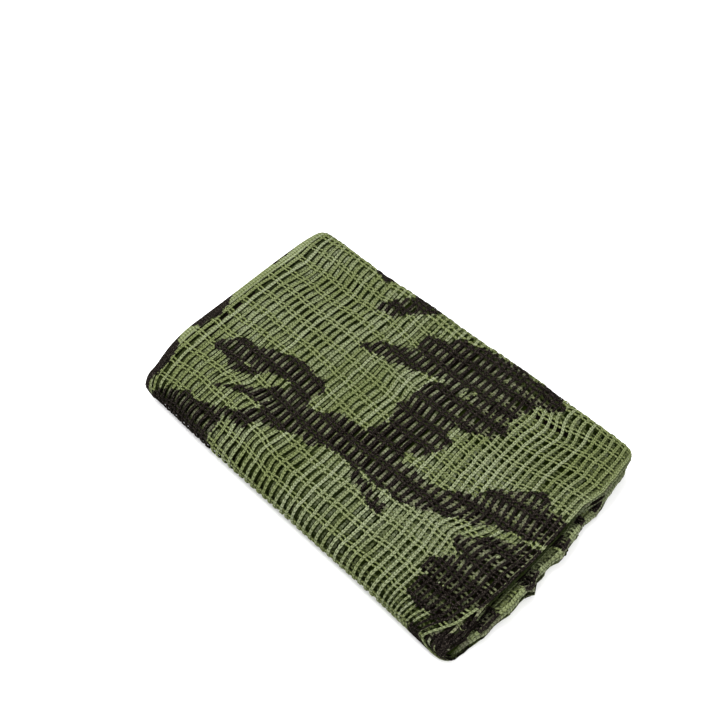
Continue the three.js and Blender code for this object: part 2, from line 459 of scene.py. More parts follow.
# %% [markdown]
# ## Ribbons and rows
#
# The net has ribbons, pairs of soft yarns side by side, every 5.5 mm along the cloth. Every 14 mm a row, a
# pair of cross yarns, ties them together, and that leaves long narrow holes. In the loops of the closed end
# the ribbons bunch up side by side. The plies never lie exactly over one another, so the ribbons of each
# ply are slid until they show through the holes of the ply above, or hide under its ribbons.

# %% the ribbons
RIBBON_PITCH, LOOP_PITCH, FIRST_RIBBON = 5.5, 1.4, 0.3
# How far round the end of a ply the ribbons bunch up, for each of the three loops of the closed end.
LOOP_BUNCHES = {0: 9.0, 2: 5.0, 4: 5.0}
BUNCH_SOFT, FINE_STEPS = 2, 4000
# Where the ribbons of each ply lie within one pitch, from ply 5 to ply 0, and where they are free to slide.
PLY_PHASES = [0.0, 0.5, 0.05, 0.3, 0.78, 0.55]
PHASE_FREE = (6.0, 24.0)


def bunched(u):
    """1 where the ribbons lie side by side in a loop of the cloth, and 0 where they are spread."""
    total = np.zeros_like(u)
    for loop, reach in LOOP_BUNCHES.items():
        clear = ease(np.abs(u - PLY_STOPS[loop]), reach - BUNCH_SOFT, reach + BUNCH_SOFT)
        total = np.maximum(total, 1 - clear)
    return total


def ribbon_places():
    """Distances along the cloth at which the ribbons lie."""
    fine = np.linspace(0, CLOTH_LENGTH, FINE_STEPS)
    pitch = RIBBON_PITCH + (LOOP_PITCH - RIBBON_PITCH) * bunched((fine[1:] + fine[:-1]) / 2)
    count = np.concatenate([[0.0], np.cumsum(np.diff(fine) / pitch)])
    return np.interp(np.arange(FIRST_RIBBON, count[-1]), count, fine)


def set_ply_phase(ribbons):
    """Slides the ribbons of each ply to their own part of the pitch."""
    for number, (start, stop) in enumerate(zip(PLY_STARTS, PLY_STOPS)):
        own = (ribbons >= start) & (ribbons < stop)
        x = fold_x(ribbons[own])
        now = x[np.argmin(np.abs(x))] / RIBBON_PITCH
        slide = (PLY_PHASES[number] - now + 0.5) % 1 - 0.5
        towards = -1 if number % 2 == 0 else 1
        free = ease(np.minimum(ribbons[own] - start, stop - ribbons[own]), *PHASE_FREE)
        ribbons[own] += towards * slide * RIBBON_PITCH * free
    return ribbons


RIBBONS = set_ply_phase(ribbon_places())
print("ribbons:", len(RIBBONS))

# %% the rows
ROW_PITCH, FIRST_ROW, HEM_ROW = 14.3, 2.0, 0.9
ROWS = FIRST_ROW + ROW_PITCH * np.arange(int((CLOTH_WIDTH - FIRST_ROW) / ROW_PITCH) + 1)
ROWS = np.insert(ROWS, 0, HEM_ROW)
print("rows:", len(ROWS))

# %% [markdown]
# ## Where the yarns cross
#
# Soft yarn makes every crossing wander a little. Each one is a ribbon's distance along the cloth and a
# row's distance across it, moved by a slow drift, a quick one and a small random step of its own. All
# random numbers come from one seeded source, in a fixed order, so that the net comes out the same each
# time.

# %% the crossings, along the cloth
rng = np.random.default_rng(7)
ribbon_at, row_at = np.meshgrid(RIBBONS, ROWS, indexing="ij")
ALONG_WANDER = [
    {"seed": 1, "wavelength": 110, "amount": 0.3},
    {"seed": 2, "wavelength": 35, "amount": 0.2},
]
UNEVEN = {"along": 0.22, "across": 0.25, "hem": 0.15}
# The cut ends of the cloth don't wander, and every crossing stays a little inside its edges.
CUT_END_HELD, CUT_MARGIN = (0.0, 12.0), {"along": 0.6, "across": 0.8}
# Where the open edge meets the loose end, the ply under the top one has slid along the fold.
UNDER_SLID = {"x": (45, 95), "t": (60, 85), "slide": -2.2}


def crossings_along():
    """How far along the cloth each ribbon crosses each row."""
    wander = ease(np.minimum(ribbon_at, CLOTH_LENGTH - ribbon_at), *CUT_END_HELD) * (1 - bunched(ribbon_at))
    u = ribbon_at + wander * sum(drift(ribbon_at, row_at, **row) for row in ALONG_WANDER)
    u += wander * rng.normal(0, UNEVEN["along"], u.shape)
    under = (ribbon_at > PLY_STOPS[0]) & (ribbon_at < PLY_STOPS[1])
    under = under * ease(fold_x(ribbon_at), *UNDER_SLID["x"]) * (1 - ease(row_at, *UNDER_SLID["t"]))
    u += wander * under * UNDER_SLID["slide"]
    return np.clip(u, CUT_MARGIN["along"], CLOTH_LENGTH - CUT_MARGIN["along"])


CROSSING_U = crossings_along()
print("crossings:", CROSSING_U.size)

# %% the crossings, across the cloth
ACROSS_WANDER = [
    {"seed": 3, "wavelength": 110, "amount": 0.5},
    {"seed": 4, "wavelength": 35, "amount": 0.35},
]
# How far the rows are shifted at places along the cloth, so that those of two plies don't lie on one another.
ROW_SHIFTS = {
    "u": [0, 300, 340, 475, 525, 590, 640, 900, 1800],
    "shift": [0, 0, 0.3, 0.3, -7.2, -7.2, -5, 4, -3],
}
# The open edge of each ply, from ply 5 to ply 0, lies a little in or out. These shifts end soon after the
# edge, where those of the rows start.
EDGE_SHIFTS = [0.0, 0.5, -0.4, 0.4, -0.5, 0.2]
SHIFT_FROM, EDGE_SHIFT_TO = (2.0, 22.0), (2.0, 10.0)
FIRST_ROW_BOW, FIRST_ROW_LEAST = 0.75, 0.3


def first_row_bow(x):
    """How far the first row bows in. It follows the bow of the rows, but stays clear of the hem."""
    return FIRST_ROW_BOW * np.maximum(bow_of_rows(x, 0.0), FIRST_ROW_LEAST)


def crossings_across():
    """How far across the cloth each ribbon crosses each row."""
    shift = np.interp(ribbon_at, ROW_SHIFTS["u"], ROW_SHIFTS["shift"]) * ease(row_at, *SHIFT_FROM)
    t = sum((drift(ribbon_at, row_at, **row) for row in ACROSS_WANDER), row_at + shift)
    number = np.minimum(np.searchsorted(PLY_STOPS, ribbon_at), PLIES - 1)
    t += np.array(EDGE_SHIFTS)[number] * (1 - ease(row_at, *EDGE_SHIFT_TO))
    t += rng.normal(0, UNEVEN["across"], t.shape)
    t[:, 1] += first_row_bow(fold_x(ribbon_at[:, 1]))
    t[:, 0] = HEM_ROW + rng.normal(0, UNEVEN["hem"], len(RIBBONS))
    return np.clip(t, CUT_MARGIN["across"], CLOTH_WIDTH - CUT_MARGIN["across"])


CROSSING_T = crossings_across()
gaps = np.diff(CROSSING_T[:, 1:], axis=1)
print("from row to row, mm:", round(gaps.min(), 1), "to", round(gaps.max(), 1))

# %% [markdown]
# ## One stretch of yarn
#
# The net is laid out in cells. A cell has the stretch of its ribbon up to the next row, and the stretches
# of its cross yarns up to the next ribbon. There are tens of thousands of them, so a stretch is a short
# open tube for each of its two yarns, made once by bmesh and then repeated. The top ply has the finest
# ones. Deep inside the fold both kinds are flat tapes, because nobody sees their yarns.

# %% the stretches
def stretch(sides, pieces, half_width, half_height, offsets):
    """Tubes from 0 to 1 along X, as arrays: points, places round the yarn, the yarn's middle, and quads."""
    bm = bmesh.new()
    ring = bm.verts.layers.float_vector.new("ring")
    middle = bm.verts.layers.float.new("middle")
    turn = Matrix.Rotation(math.pi / 2, 4, "Y") @ Matrix.Rotation(math.pi / sides, 4, "Z")
    corner = 1.0 if sides > 4 else math.sqrt(2)
    for offset in offsets:
        tube = bmesh.ops.create_cone(
            bm,
            segments=sides,
            radius1=corner,
            radius2=corner,
            depth=1,
            matrix=Matrix.Translation((0.5, 0, 0)) @ turn,
        )["verts"]
        for vert in tube:
            vert[ring] = vert.co
            vert[middle] = offset
        bmesh.ops.scale(bm, vec=(1, half_width, half_height), verts=tube)
        bmesh.ops.translate(bm, vec=(0, offset, 0), verts=tube)
    lengthwise = [edge for edge in bm.edges if abs(edge.verts[0].co.x - edge.verts[1].co.x) > 0.5]
    bmesh.ops.subdivide_edges(bm, edges=lengthwise, cuts=pieces - 1)
    bm.verts.index_update()
    made = {
        "co": np.array([vert.co for vert in bm.verts]),
        "ring": np.array([vert[ring] for vert in bm.verts])[:, 1:],
        "middle": np.array([vert[middle] for vert in bm.verts]),
        "pieces": pieces,
        "faces": np.array([[vert.index for vert in face.verts] for face in bm.faces]),
    }
    bm.free()
    return made


DETAIL = {
    "fine": {
        "ribbon": stretch(5, 8, half_width=0.57, half_height=0.6, offsets=(-0.55, 0.55)),
        "cross": stretch(5, 4, half_width=0.68, half_height=0.56, offsets=(-1.38, 1.38)),
    },
    "plain": {
        "ribbon": stretch(4, 4, half_width=0.46, half_height=0.4, offsets=(-0.44, 0.44)),
        "cross": stretch(4, 2, half_width=0.58, half_height=0.38, offsets=(-1.38, 1.38)),
    },
    "flat": {
        "ribbon": stretch(4, 2, half_width=1.8, half_height=0.27, offsets=(0.0,)),
        "cross": stretch(4, 1, half_width=1.9, half_height=0.22, offsets=(0.0,)),
    },
}
for name, kinds in DETAIL.items():
    print(name, "triangles a cell:", 2 * sum(len(kind["faces"]) for kind in kinds.values()))

# %% [markdown]
# ## The strokes of the print
#
# The cloth is dyed green and overprinted in black on one side, in a common woodland layout of branches and
# lobes. They are strokes here, each a few points with a half width. Strokes stay sharp at any size, and
# they can be bent and widened one at a time.

# %% the strokes: x along the fold, t from the open edge round to the base, and half width
STROKES = {
    "edge spot": [[(-81, 0, 5.5), (-74, 1, 5.5)]],
    "strip": [[(-34, -3, 12), (-40, 9, 8), (-51, 19, 8), (-58, 26, 5.5)]],
    "upper mass": [
        [(8, 13, 7), (30, 13, 11), (60, 12, 12), (80, 9, 8), (88, 7, 4)],
        [(-6, 28, 12), (24, 25, 13), (55, 25, 13), (66, 22, 9)],
        [(-6, 32, 8), (20, 34, 6), (65, 34, 6)],
        [(12, 42, 3.5), (28, 43, 2.5), (44, 42, 3.5), (68, 43, 3.5)],
    ],
    "tail": [[(4, 43, 8), (-16, 47, 8.5), (-31, 55, 7), (-45, 61, 3)]],
    "middle mass": [
        [(18, 54, 8), (46, 53, 8.5), (64, 49, 6.5), (69, 49, 5)],
        [(36, 58, 11), (58, 57, 7), (65, 55, 5)],
    ],
    "column": [
        [(26, 62, 18), (27, 75, 19), (27, 83, 19.5), (32, 92, 15), (24, 101, 13), (14, 110, 10)],
        [(44, 80, 8), (50, 81, 4), (44, 88, 6)],
        [(26, 104, 8), (36, 114, 4)],
    ],
    "branch": [
        [(-12, 122, 10), (10, 124, 12), (40, 125, 13), (55, 124, 10.5), (66, 121, 9.5), (80, 116, 9)],
        [(84, 112, 8), (100, 101, 12), (112, 92, 16), (125, 86, 17), (135, 85, 13.5), (152, 88, 7.5)],
    ],
    "leaf": [
        [(-121, 129, 3), (-108, 125, 8), (-92, 121, 10), (-72, 113, 9.5), (-52, 110, 8)],
        [(-119, 132, 2.5), (-108, 133, 4), (-92, 132.5, 4.5), (-84, 129, 4)],
        [(-50, 110, 10), (-48, 118, 9), (-46, 128, 10)],
    ],
    "lower branch": [
        [(-6, 128, 11), (-28, 131, 9), (-50, 135, 10), (-52, 145, 8)],
        [(-52, 145, 8), (-32, 143, 7), (-20, 140, 6)],
    ],
    "twig": [
        [(-58, 134, 6), (-72, 141, 4.5), (-82, 147, 3.5), (-90, 152, 2), (-100, 158, 1)],
        [(-50, 148, 6), (-60, 159, 6), (-69, 163, 5), (-80, 169, 3), (-86, 174, 3)],
        [(12, 134, 4), (26, 142, 3), (38, 145, 3), (49, 147, 4.5), (52, 152, 1.5)],
    ],
    "corner mass": [
        [(152, 104, 5), (138, 109, 6.5), (120, 121, 8), (108, 130, 6.5), (101, 130, 4)],
        [(152, 121, 13), (134, 131, 12), (118, 136, 8)],
        [(152, 146, 15), (128, 148, 14), (110, 150, 10), (102, 152, 6)],
        [(152, 168, 14), (128, 169, 12.5), (110, 169, 9.5)],
        [(156, 184, 12), (140, 188, 8), (132, 190, 4)],
    ],
    "roll patch": [
        [(-78, 179, 9.5), (-100, 184, 13), (-86, 200, 19), (-120, 204, 19)],
        [(-112, 190, 13), (-128, 197, 12), (-140, 206, 14)],
    ],
    "corner roll": [[(118, 206, 6), (134, 198, 10), (152, 196, 14)]],
    "closed edge": [
        [(-151, 34, 4), (-151, 50, 4)],
        [(-150, 99, 6), (-150, 106, 9), (-150, 126, 9.5)],
        [(-150, 157, 11), (-150, 166, 11.5), (-150, 176, 10.5), (-151, 188, 9), (-152, 204, 7)],
    ],
}
FAR_OUTSIDE = -30.0


def inside_strokes(x, t):
    """How far inside the nearest stroke a place is, in millimetres, negative outside."""
    depth = np.full(x.shape, FAR_OUTSIDE)
    for points in sum(STROKES.values(), []):
        for (x0, t0, r0), (x1, t1, r1) in zip(points[:-1], points[1:]):
            span = np.array([x1 - x0, t1 - t0], float)
            part = np.clip(((x - x0) * span[0] + (t - t0) * span[1]) / (span @ span), 0, 1)
            away = np.hypot(x - x0 - part * span[0], t - t0 - part * span[1])
            depth = np.maximum(depth, r0 + (r1 - r0) * part - away)
    return depth


print("strokes in the print:", sum(len(strokes) for strokes in STROKES.values()))

# %% [markdown]
# ## The print on every ply
#
# A vertex keeps how far inside the print it lies, and the material turns that into an edge that follows the
# yarns. The strokes are on the three outer plies of the face and the roll. The other plies and the
# underside carry lobes of about the same size from seeded waves, because the cloth is printed all over. The
# ends of the lower tube have their own patches. At the rolled corner the top ply stands back and lays the
# next one bare, and that is printed solid.

# %% how far inside the print a place is
# The print's edge is ragged in two sizes.
EDGE_RAGGED = {"seed": 21, "wavelength": 16, "amount": 1.3}
YARN_RAGGED = {"seed": 22, "wavelength": 5, "amount": 0.7}
# The print on hidden plies: broad lobes and narrow ones drawn out along the cloth. HIDDEN_BARE makes them all
# smaller.
HIDDEN_LOBES = {"seed": 23, "wavelength": 90, "amount": 14.0}
HIDDEN_TWIGS = {"seed": 24, "wavelength": 34, "amount": 6.0}
TWIGS_DRAWN_OUT, HIDDEN_BARE = 1.6, 5.0
HIDDEN_PLIES = (PLY_STOPS[2] - 30, PLY_STOPS[2])
UNDERSIDE = (SECTION_STARTS["base"], SECTION_STARTS["base"] + 20)
# Each patch of the tube is a place across the fold and a half width.
TUBE_PATCHES = [(51, 6), (34, 4), (11, 6), (-21, 7), (-59, 9), (-78, 3)]
TUBE_PRINT_FROM, TUBE_RAGGED = (130, 137), 0.4
# The hem of the top ply has no print where it stands back at the rolled corner.
CORNER_HEM = {"u": (-6.8, -5.5), "t": (150, 158), "depth": -5.0}
LAID_BARE = {"past": (-2.5, 0.0), "y": (40, 60), "t": (SECTION_STARTS["base"], SECTION_STARTS["base"] + 5)}
SOAKED = {"depth": 28.0, "ragged": 8.0}


def laid_bare(u, t):
    """1 where the top ply stands back from those under it, at the rolled corner of the loose end."""
    x = fold_x(u)
    y, z = read_line(t, SECTION_T, SECTION_LINE)
    top_end = HALF_LENGTH - stands_back(HALF_LENGTH, y, z, 1)
    past = ease(x - stands_back(x, y, z, 0) - top_end, *LAID_BARE["past"]) * (u > PLY_STOPS[0])
    return past * ease(-y, *LAID_BARE["y"]) * (1 - ease(t, *LAID_BARE["t"]))


def print_depth(u, t):
    """How far inside the print a place of the flat cloth is."""
    x = fold_x(u)
    along, across = askew(x, t)
    ragged = drift(x, t, **EDGE_RAGGED) + drift(x, t, **YARN_RAGGED)
    shown = inside_strokes(x + along, t + across) + ragged
    hem = ease(-u, *CORNER_HEM["u"]) * ease(t, *CORNER_HEM["t"])
    shown = shown + (CORNER_HEM["depth"] - shown) * hem

    elsewhere = drift(u, t, **HIDDEN_LOBES) + drift(u, t * TWIGS_DRAWN_OUT, **HIDDEN_TWIGS) - HIDDEN_BARE
    y, _ = read_line(t, SECTION_T, SECTION_LINE)
    patch = np.max([half - np.abs(y - middle) for middle, half in TUBE_PATCHES], axis=0)
    elsewhere = elsewhere + (patch + TUBE_RAGGED * ragged - elsewhere) * ease(x, *TUBE_PRINT_FROM)

    hidden = np.maximum(ease(u, *HIDDEN_PLIES), ease(t, *UNDERSIDE))
    depth = shown * (1 - hidden) + elsewhere * hidden
    return depth + (SOAKED["depth"] + SOAKED["ragged"] * ragged - depth) * laid_bare(u, t)


print("patches on the loose end's tube:", len(TUBE_PATCHES))


# %% [markdown]
# ## How much light reaches a yarn
#
# Light that falls through the holes of a stack of net is lost among the yarns, so the plies below the top
# one are dark, and the holes read as holes. A mesh of smooth yarns, some of them flat tapes, lets more
# light through than fluffy yarn does. So each vertex also keeps how open to the light it is, from 0 to 1,
# and the material paints that light and shade into the yarn's colour. It depends on the ply, on how near
# the place is to an end of the fold, on whether a row lies just above it, and on which side of its yarn it
# is. This painted light and shade belongs to the cloth, and doesn't change with the lamps.

# %% light from above
# One value for each ply, from ply 0 to ply 5.
LIGHT_BY_PLY = [0.02, 0.02, 0.03, 0.1, 0.76, 1.0]
# Plies below this count are under the top one.
UNDER_TOP, PLY_SOFT = 4.7, 0.4
INNER_BASE = (SECTION_STARTS["inner_base"] - 6, SECTION_STARTS["inner_base"] + 4)
# Painted shade is deeper under the top ply along the roll, and where the open edge meets the loose end.
UNDER_ROLL = {"t": (130, 160), "x": (-90, -30), "less": 0.5}
UNDER_OPEN_CORNER = {"t": UNDER_SLID["t"], "x": (78, 105), "less": 0.5}


def light_from_above(x, t, ply, bare):
    """Less light in each deeper ply, and less still in two places under the top one."""
    under_top = ease(UNDER_TOP - ply, 0.0, PLY_SOFT)
    light = np.interp(ply + bare, np.arange(PLIES), LIGHT_BY_PLY)
    on_roll = under_top * ease(t, *UNDER_ROLL["t"]) * (1 - bare)
    light = light * (1 - UNDER_ROLL["less"] * on_roll * ease(x, *UNDER_ROLL["x"]))
    at_corner = ease(x, *UNDER_OPEN_CORNER["x"]) * (1 - ease(t, *UNDER_OPEN_CORNER["t"])) * under_top
    light = light * (1 - UNDER_OPEN_CORNER["less"] * at_corner)
    inside = ease(t, *INNER_BASE)
    return light * (1 - inside) + LIGHT_BY_PLY[0] * inside


print("light on each ply, from above:", LIGHT_BY_PLY)


# %% light at the ends
# Again one value for each ply. At a rim the lower ones get more light than they do from above.
RIM_LIGHT_BY_PLY = [0.1, 0.12, 0.25, 0.55, 0.8, 1.0]
LIT_RIM, LIT_TUBE, LIT_LOOPS = (141, 147), (140, 143.5), (141, 148)
TUBE_LIGHT, LOOP_LIGHT, FLUSH_LIGHT = 0.9, 0.7, 0.7
# Towards the open edge the layers end flush, and the light reaches all of them.
FLUSH_FROM = (12, 40)
SLIT_DARK = {"ply": 4.8, "less": 0.85}
TUBE_FROM = (SECTION_STARTS["outer_roll"] - 8, SECTION_STARTS["outer_roll"] + 4)
TUBE_TO = (SECTION_STARTS["inner_roll"] - 8, SECTION_STARTS["inner_roll"] + 8)


def light_at_ends(x, y, t, ply):
    """Light that comes in at the rims of the loose end, on its lower tube, and on the closed end's loops."""
    lower = ease(t, *TUBE_FROM) * (1 - ease(t, *TUBE_TO))
    rim = np.interp(ply, np.arange(PLIES), RIM_LIGHT_BY_PLY) * (1 - lower) * (1 - ease(t, *INNER_BASE))
    in_slit = ease(-y, *LOOSE_SLIT["y_from"])
    rim = rim * (1 - SLIT_DARK["less"] * in_slit * ease(SLIT_DARK["ply"] - ply, 0.0, PLY_SOFT))
    loose = ease(x, *LIT_RIM) * rim + ease(x, *LIT_TUBE) * lower * TUBE_LIGHT
    loops = ease(-x, *LIT_LOOPS) * LOOP_LIGHT
    flush = ease(y, *FLUSH_FROM) * ease(x, *LIT_RIM) * FLUSH_LIGHT
    return np.maximum(flush, np.maximum(loose, loops))


print("light on each ply, at a rim:", RIM_LIGHT_BY_PLY)


# %% light on each place
UNDER_ROWS = {"reach": (3.0, 4.3), "less": 0.85, "x": (139, 146)}
# The first row's own bow counts only near the hem.
FIRST_BOW_TO = (9.0, 13.0)
DARKEST_SIDE, FACING = 0.12, (-0.6, 0.85)


def under_a_row(x, t):
    """1 under a row of the top ply, and 0 clear of it."""
    first_bow = first_row_bow(x) * (1 - ease(t, *FIRST_BOW_TO))
    to_row = np.abs((t - first_bow - FIRST_ROW + ROW_PITCH / 2) % ROW_PITCH - ROW_PITCH / 2)
    return 1 - ease(to_row, *UNDER_ROWS["reach"])


def open_to_light(u, t, ring):
    """How much light reaches a place. ring is the place round its yarn."""
    x, h = read_line(u, STRIP_U, STRIP_LINE)
    nx, nh = read_line(u, STRIP_U, STRIP_NORMAL)
    y, _ = read_line(t, SECTION_T, SECTION_LINE)
    ply = h / PLY_STEP + (PLIES - 1) / 2
    bare = laid_bare(u, t)
    light = np.maximum(light_from_above(x, t, ply, bare), light_at_ends(x, y, t, ply))
    shaded = under_a_row(x, t) * ease(UNDER_TOP - ply, 0.0, PLY_SOFT) * (1 - bare)
    light = light * (1 - UNDER_ROWS["less"] * shaded * (1 - ease(x, *UNDER_ROWS["x"])))
    facing = ring[:, 1] * (nh + nx * np.sign(x) * (1 - np.abs(nh)))
    return light * (DARKEST_SIDE + (1 - DARKEST_SIDE) * ease(facing, *FACING))


print("the side of a yarn that faces inwards gets of its light:", DARKEST_SIDE)


# %% [markdown]
# ## Laying the yarns
#
# Loosely spun yarn is thicker here and thinner there, and its two strands part and close again. So a
# stretch swells and narrows along its length, by an amount of its own, and it bows a little between two
# crossings. The ribbon lies over the cross yarns, which dip where they pass under it. Each point also gets
# a key, its place in an even layout where neighbouring stretches meet exactly, and those meetings are
# welded by it.

# %% the yarns' own differences
# How far out from the cloth's middle the yarns lie, how far the cross yarns dip, and how far in they lie in a
# loop of the cloth.
RIBBON_LIFT, CROSS_LIFT, CROSS_DIP, LOOP_TUCK = 0.14, 0.02, 0.2, 0.5
# How much a yarn swells, how much a pair parts, how much cross yarns close up under a ribbon, and how tight
# the hem is.
BEAD, SPLAY, PINCH, EDGE_TIGHT = 0.2, 0.16, 0.12, 0.4
# Round the roll the ribbons stand out, and make its outline rough.
ROLL_RIB = {"from_t": (160, 180), "to_t": (198, 206), "lift": 0.4}
# The cross yarns are deeper in tone than the ribbons by this much.
ROW_DEEPER = 0.7
RIBBON_BOW, ROW_SAG = 0.35, 0.25
ribbon_shade = rng.uniform(0, 1, len(RIBBONS))
row_shade = rng.uniform(0, 1, len(ROWS)) - ROW_DEEPER
ribbon_bow = rng.normal(0, RIBBON_BOW, CROSSING_U.shape)
row_sag = rng.normal(0, ROW_SAG, CROSSING_U.shape)
ribbon_beads = rng.uniform(-1, 1, len(RIBBONS))
row_beads = rng.uniform(-1, 1, len(ROWS))
print("largest bow of a ribbon between two rows, mm:", round(np.abs(ribbon_bow).max(), 1))

# %% laying a block of stretches
# The size of a cell in the layout, the steps of a key in a millimetre, and what keeps the keys of cross yarns
# away from those of ribbons.
LAYOUT_CELL, KEY_STEPS, CROSS_KEY = 20, 500, 1000


def swell(made, own):
    """Distance, side and height of a stretch's points, with the swellings of each yarn."""
    s, side, lift = (made["co"][None, :, axis] for axis in range(3))
    beads = np.cos(math.pi * made["pieces"] * s) * own
    if made["pieces"] % 2 == 1:
        # It would end narrow where the next stretch starts wide.
        beads = 0 * beads
    middle = made["middle"][None]
    side = middle * (1 + SPLAY * beads) + (side - middle) * (1 + BEAD * beads)
    return s, side, lift * (1 + BEAD * beads)


def laid(made, u, t, out, along, shade, layout):
    """The arrays of a block of stretches, one entry a point."""
    # The two yarns of a pair are twisted opposite ways, as in a plait.
    mirrored = np.where(made["middle"] > 0, -1, 1)[:, None] ** [1, 0]
    ring = np.broadcast_to(made["ring"] * mirrored, (*u.shape, 2))
    key = np.stack([np.round(np.broadcast_to(a, u.shape) * KEY_STEPS) for a in layout], axis=-1)
    first = (np.arange(u.shape[0]) * u.shape[1])[:, None, None]
    return {
        "u": u.ravel(),
        "t": t.ravel(),
        "out": np.broadcast_to(out, u.shape).ravel(),
        "along": along.ravel(),
        "shade": np.broadcast_to(shade, u.shape).ravel(),
        "ring": ring.reshape(-1, 2),
        "key": key.reshape(-1, 3).astype(np.int64),
        "faces": (made["faces"][None] + first).reshape(-1, 4),
    }


def lay_ribbons(made, ribbons, rows):
    """The stretch of each ribbon from each row to the next."""
    i, j = (a.ravel()[:, None] for a in np.meshgrid(ribbons, rows, indexing="ij"))
    s, side, lift = swell(made, ribbon_beads[i])
    smooth = s * s * (3 - 2 * s)
    bow = 4 * s * (1 - s) * ribbon_bow[i, j] * (1 - bunched(RIBBONS[i]))
    u = CROSSING_U[i, j] + (CROSSING_U[i, j + 1] - CROSSING_U[i, j]) * smooth + side + bow
    t = CROSSING_T[i, j] + (CROSSING_T[i, j + 1] - CROSSING_T[i, j]) * s
    rib = ease(t, *ROLL_RIB["from_t"]) * (1 - ease(t, *ROLL_RIB["to_t"]))
    out = RIBBON_LIFT + ROLL_RIB["lift"] * rib + lift
    _, key_side, key_lift = made["co"].T
    layout = (i * LAYOUT_CELL + key_side, (j + s) * LAYOUT_CELL, key_lift)
    return laid(made, u, t, out, t, ribbon_shade[i], layout)


def lay_cross_yarns(made, ribbons, rows):
    """The stretches of each row from each ribbon to the next."""
    i, j = (a.ravel()[:, None] for a in np.meshgrid(ribbons, rows, indexing="ij"))
    s, side, lift = swell(made, row_beads[j])
    side = side * np.where(j == 0, EDGE_TIGHT, 1.0)
    smooth = s * s * (3 - 2 * s)
    over_ribbon = np.cos(math.tau * s)
    u = CROSSING_U[i, j] + (CROSSING_U[i + 1, j] - CROSSING_U[i, j]) * s
    t = CROSSING_T[i, j] + (CROSSING_T[i + 1, j] - CROSSING_T[i, j]) * smooth
    t = t + side * (1 - PINCH * over_ribbon) + 4 * s * (1 - s) * row_sag[i, j]
    out = CROSS_LIFT + lift - CROSS_DIP * over_ribbon - LOOP_TUCK * bunched(RIBBONS[i])
    _, key_side, key_lift = made["co"].T
    layout = ((i + s) * LAYOUT_CELL, j * LAYOUT_CELL + key_side, CROSS_KEY + key_lift)
    return laid(made, u, t, out, u, row_shade[j], layout)


# %% a block of one ply
def ply_span(ply):
    """Where a ply starts and stops along the cloth."""
    number = PLIES - 1 - ply
    return PLY_STARTS[number], PLY_STOPS[number]


def block(ply, t_from, t_to, detail, x_from=-math.inf, x_to=math.inf):
    """The cells of a ply between two places across the cloth, and two along the fold."""
    first, last = np.searchsorted(RIBBONS, ply_span(ply))
    x = fold_x(RIBBONS[first:last])
    ribbons = first + np.flatnonzero((x >= x_from) & (x < x_to))
    before_last = ribbons[ribbons < len(RIBBONS) - 1]
    top, bottom = np.searchsorted(ROWS, (t_from, t_to))
    return [
        lay_ribbons(DETAIL[detail]["ribbon"], ribbons, np.arange(top, min(bottom, len(ROWS) - 1))),
        lay_cross_yarns(DETAIL[detail]["cross"], before_last, np.arange(top, bottom)),
    ]


print("ply 5 runs along the cloth from and to, mm:", [round(u, 1) for u in ply_span(5)])


# %% [markdown]
# ## Making a piece of net
#
# A piece is some blocks of one or more plies. Its stretches are welded where they meet, roughened a little
# as fluffy yarn is, sent through the two foldings, and closed where a yarn was cut. The mesh keeps four
# things for its material at each vertex: strand, which is the place along and round the yarn, the yarn's
# own shade, how far it lies inside the print, and how open to the light it is.

# %% from stretches to a mesh
FUZZ = 0.05


def weld(parts):
    """Joins stretches where they meet: the points that are left, and the faces between them."""
    shift = np.cumsum([0] + [len(part["u"]) for part in parts[:-1]])
    faces = np.concatenate([part["faces"] + first for part, first in zip(parts, shift)])
    joined = {key: np.concatenate([part[key] for part in parts]) for key in parts[0] if key != "faces"}
    _, first, same = np.unique(joined["key"], axis=0, return_index=True, return_inverse=True)
    return {key: values[first] for key, values in joined.items()}, same.ravel()[faces]


def four_sided_mesh(name, places, faces):
    mesh = bpy.data.meshes.new(name)
    mesh.vertices.add(len(places))
    mesh.vertices.foreach_set("co", places.astype(np.float32).ravel())
    mesh.loops.add(faces.size)
    mesh.loops.foreach_set("vertex_index", faces.astype(np.int32).ravel())
    mesh.polygons.add(len(faces))
    mesh.polygons.foreach_set("loop_start", np.arange(0, faces.size, 4, dtype=np.int32))
    mesh.update(calc_edges=True)
    return mesh


def keep(mesh, name, values):
    """Keeps one number, or three, at each vertex."""
    kind, field = ("FLOAT_VECTOR", "vector") if values.ndim == 2 else ("FLOAT", "value")
    layer = mesh.attributes.new(name, kind, "POINT")
    layer.data.foreach_set(field, values.astype(np.float32).ravel())


def close_cut_yarns(mesh):
    bm = bmesh.new()
    bm.from_mesh(mesh)
    cut = [edge for edge in bm.edges if edge.is_boundary]
    bmesh.ops.holes_fill(bm, edges=cut, sides=8)
    bmesh.ops.recalc_face_normals(bm, faces=bm.faces)
    bm.to_mesh(mesh)
    bm.free()


def net_piece(name, blocks, material):
    """One piece of the net, which stands for the CAD's folded cloth."""
    points, faces = weld(sum(blocks, []))
    u, t, ring = points["u"], points["t"], points["ring"]
    fuzz = np.random.default_rng(len(u)).normal(0, FUZZ, (3, len(u)))
    places = drape(u + fuzz[0], t + fuzz[1], points["out"] + fuzz[2])
    mesh = four_sided_mesh(name, places * MM, faces)
    keep(mesh, "strand", np.stack([points["along"], *ring.T], axis=1))
    keep(mesh, "shade", points["shade"])
    keep(mesh, "print_depth", print_depth(u, t))
    keep(mesh, "open_to_light", open_to_light(u, t, ring))
    close_cut_yarns(mesh)
    mesh.shade_smooth()
    mesh.materials.append(material)
    piece = bpy.data.objects.new(name, mesh)
    bpy.context.scene.collection.objects.link(piece)
    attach(piece, "root")
    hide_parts("net_scarf")
    return piece


print("points are moved by fuzz of about, mm:", FUZZ)


